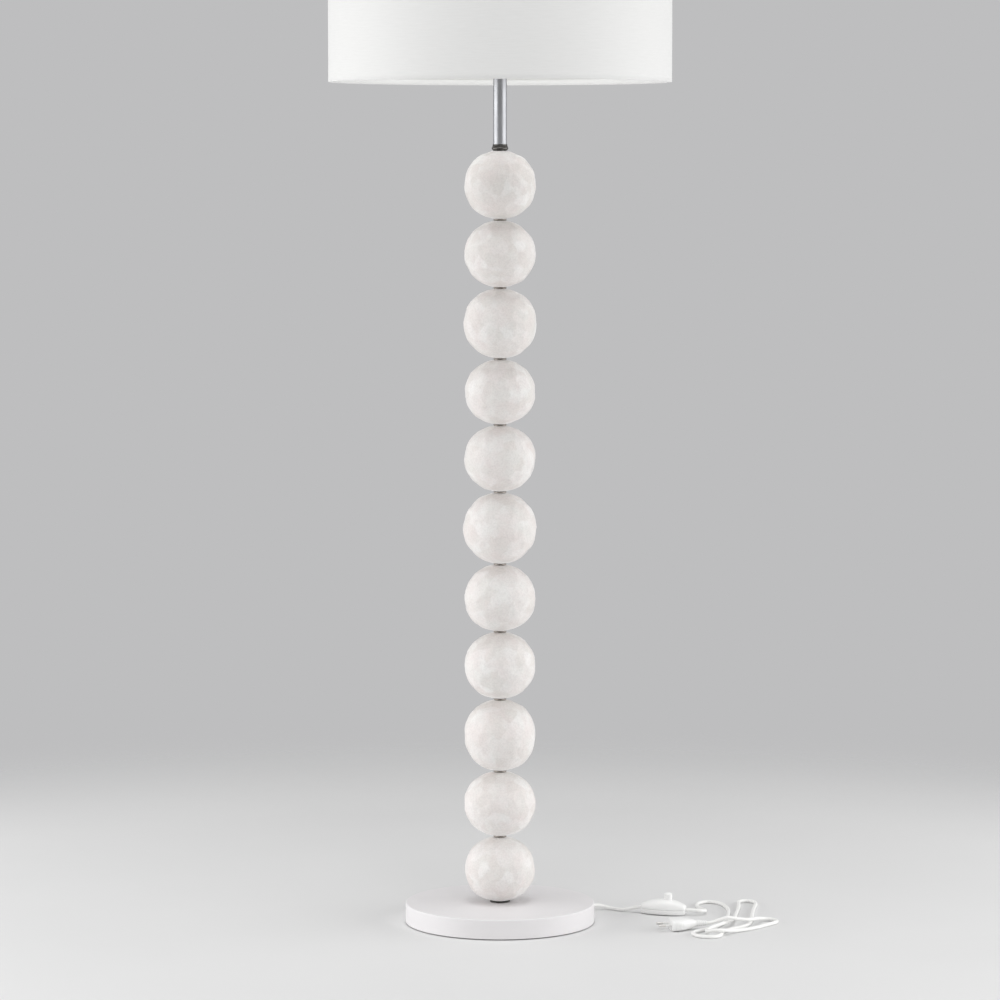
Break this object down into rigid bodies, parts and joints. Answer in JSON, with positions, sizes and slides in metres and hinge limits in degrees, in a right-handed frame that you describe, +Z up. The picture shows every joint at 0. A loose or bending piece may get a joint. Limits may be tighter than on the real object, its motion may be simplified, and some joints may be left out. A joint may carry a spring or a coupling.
{
  "type": "globe floor lamp",
  "caption": "Free-standing floor lamp: stacked hand-moulded globes on a round white base, chrome neck, white drum shade, and a mains cord with foot switch and flat plug.",
  "frame": {"origin": "middle of the base's underside, on the floor, under the column's axis", "axes": "+Z up the column; the lamp is seen looking along +Y; the cord leaves the base towards +X and +Y"},
  "size_m": [0.6633, 0.5, 1.54],
  "materials": {
    "painted_steel": "satin white powder coat",
    "cast_weight": "cast concrete",
    "felt": "pressed felt",
    "zinc_steel": "zinc plated",
    "dark_steel": "dark nickel",
    "plaster": "hand-moulded paper pulp and plaster, matt",
    "chrome": "polished chrome",
    "white_plastic": "moulded satin white",
    "gloss_plastic": "moulded gloss white",
    "cable": "extruded soft PVC",
    "brass": "turned",
    "nickel": "nickel plated",
    "bright_nickel": "bright nickel plated, polished",
    "ceramic": "glazed",
    "opal_glass": "opal white",
    "black_glass": "vitrite black",
    "shade_cloth": "fine plain weave, white",
    "styrene": "translucent white sheet",
    "white_wire": "white powder-coated wire",
    "dark_plastic": "moulded"
  },
  "bodies": {
    "lamp": {"base_cover": "painted_steel", "base_weight": "cast_weight", "base_pad": "felt", "base_nut_washer": "zinc_steel", "base_nut": "zinc_steel", "foot_washer": "dark_steel", "cord_gland": "white_plastic", "cord_in_base": "cable", "globe_01": "plaster", "globe_02": "plaster", "globe_03": "plaster", "globe_04": "plaster", "globe_05": "plaster", "globe_06": "plaster", "globe_07": "plaster", "globe_08": "plaster", "globe_09": "plaster", "globe_10": "plaster", "globe_11": "plaster", "spacer_washers": "nickel", "rod_coupling": "zinc_steel", "lower_rod": "zinc_steel", "upper_rod": "zinc_steel", "top_collar": "dark_steel", "neck_tube": "chrome", "inner_wires": "cable", "holder_cap": "white_plastic", "holder_shell": "white_plastic", "holder_core": "ceramic", "terminal_screws": "brass", "holder_contact": "brass", "screw_shell": "brass", "shade_ring_lower": "white_plastic", "shade_ring_upper": "white_plastic", "shade_fabric": "shade_cloth", "shade_liner": "styrene", "shade_top_ring": "white_wire", "shade_frame": "white_wire", "switch_bottom": "gloss_plastic", "switch_top": "gloss_plastic", "switch_screws": "zinc_steel", "switch_block": "dark_plastic", "switch_spring": "zinc_steel", "switch_contacts": "brass", "plug_body": "gloss_plastic", "plug_pins": "bright_nickel", "plug_pin_sleeves": "white_plastic", "cord_lead": "cable", "cord_loops": "cable"},
    "bulb": {"bulb_contact": "nickel", "bulb_insulator": "black_glass", "bulb_cap": "nickel", "bulb_globe": "opal_glass"},
    "button": {"switch_button": "gloss_plastic"}
  },
  "joints": [
    {"name": "bulb_removal", "type": "slide", "parent": "lamp", "child": "bulb", "axis": [0, 0, 1], "range_m": [0, 0.03]},
    {"name": "switch_press", "type": "slide", "parent": "lamp", "child": "button", "axis": [0, 0, -1], "range_m": [0, 0.003], "stiffness_N_per_m": 900, "springref_m": -0.001, "deforming": ["switch_spring"]}
  ]
}
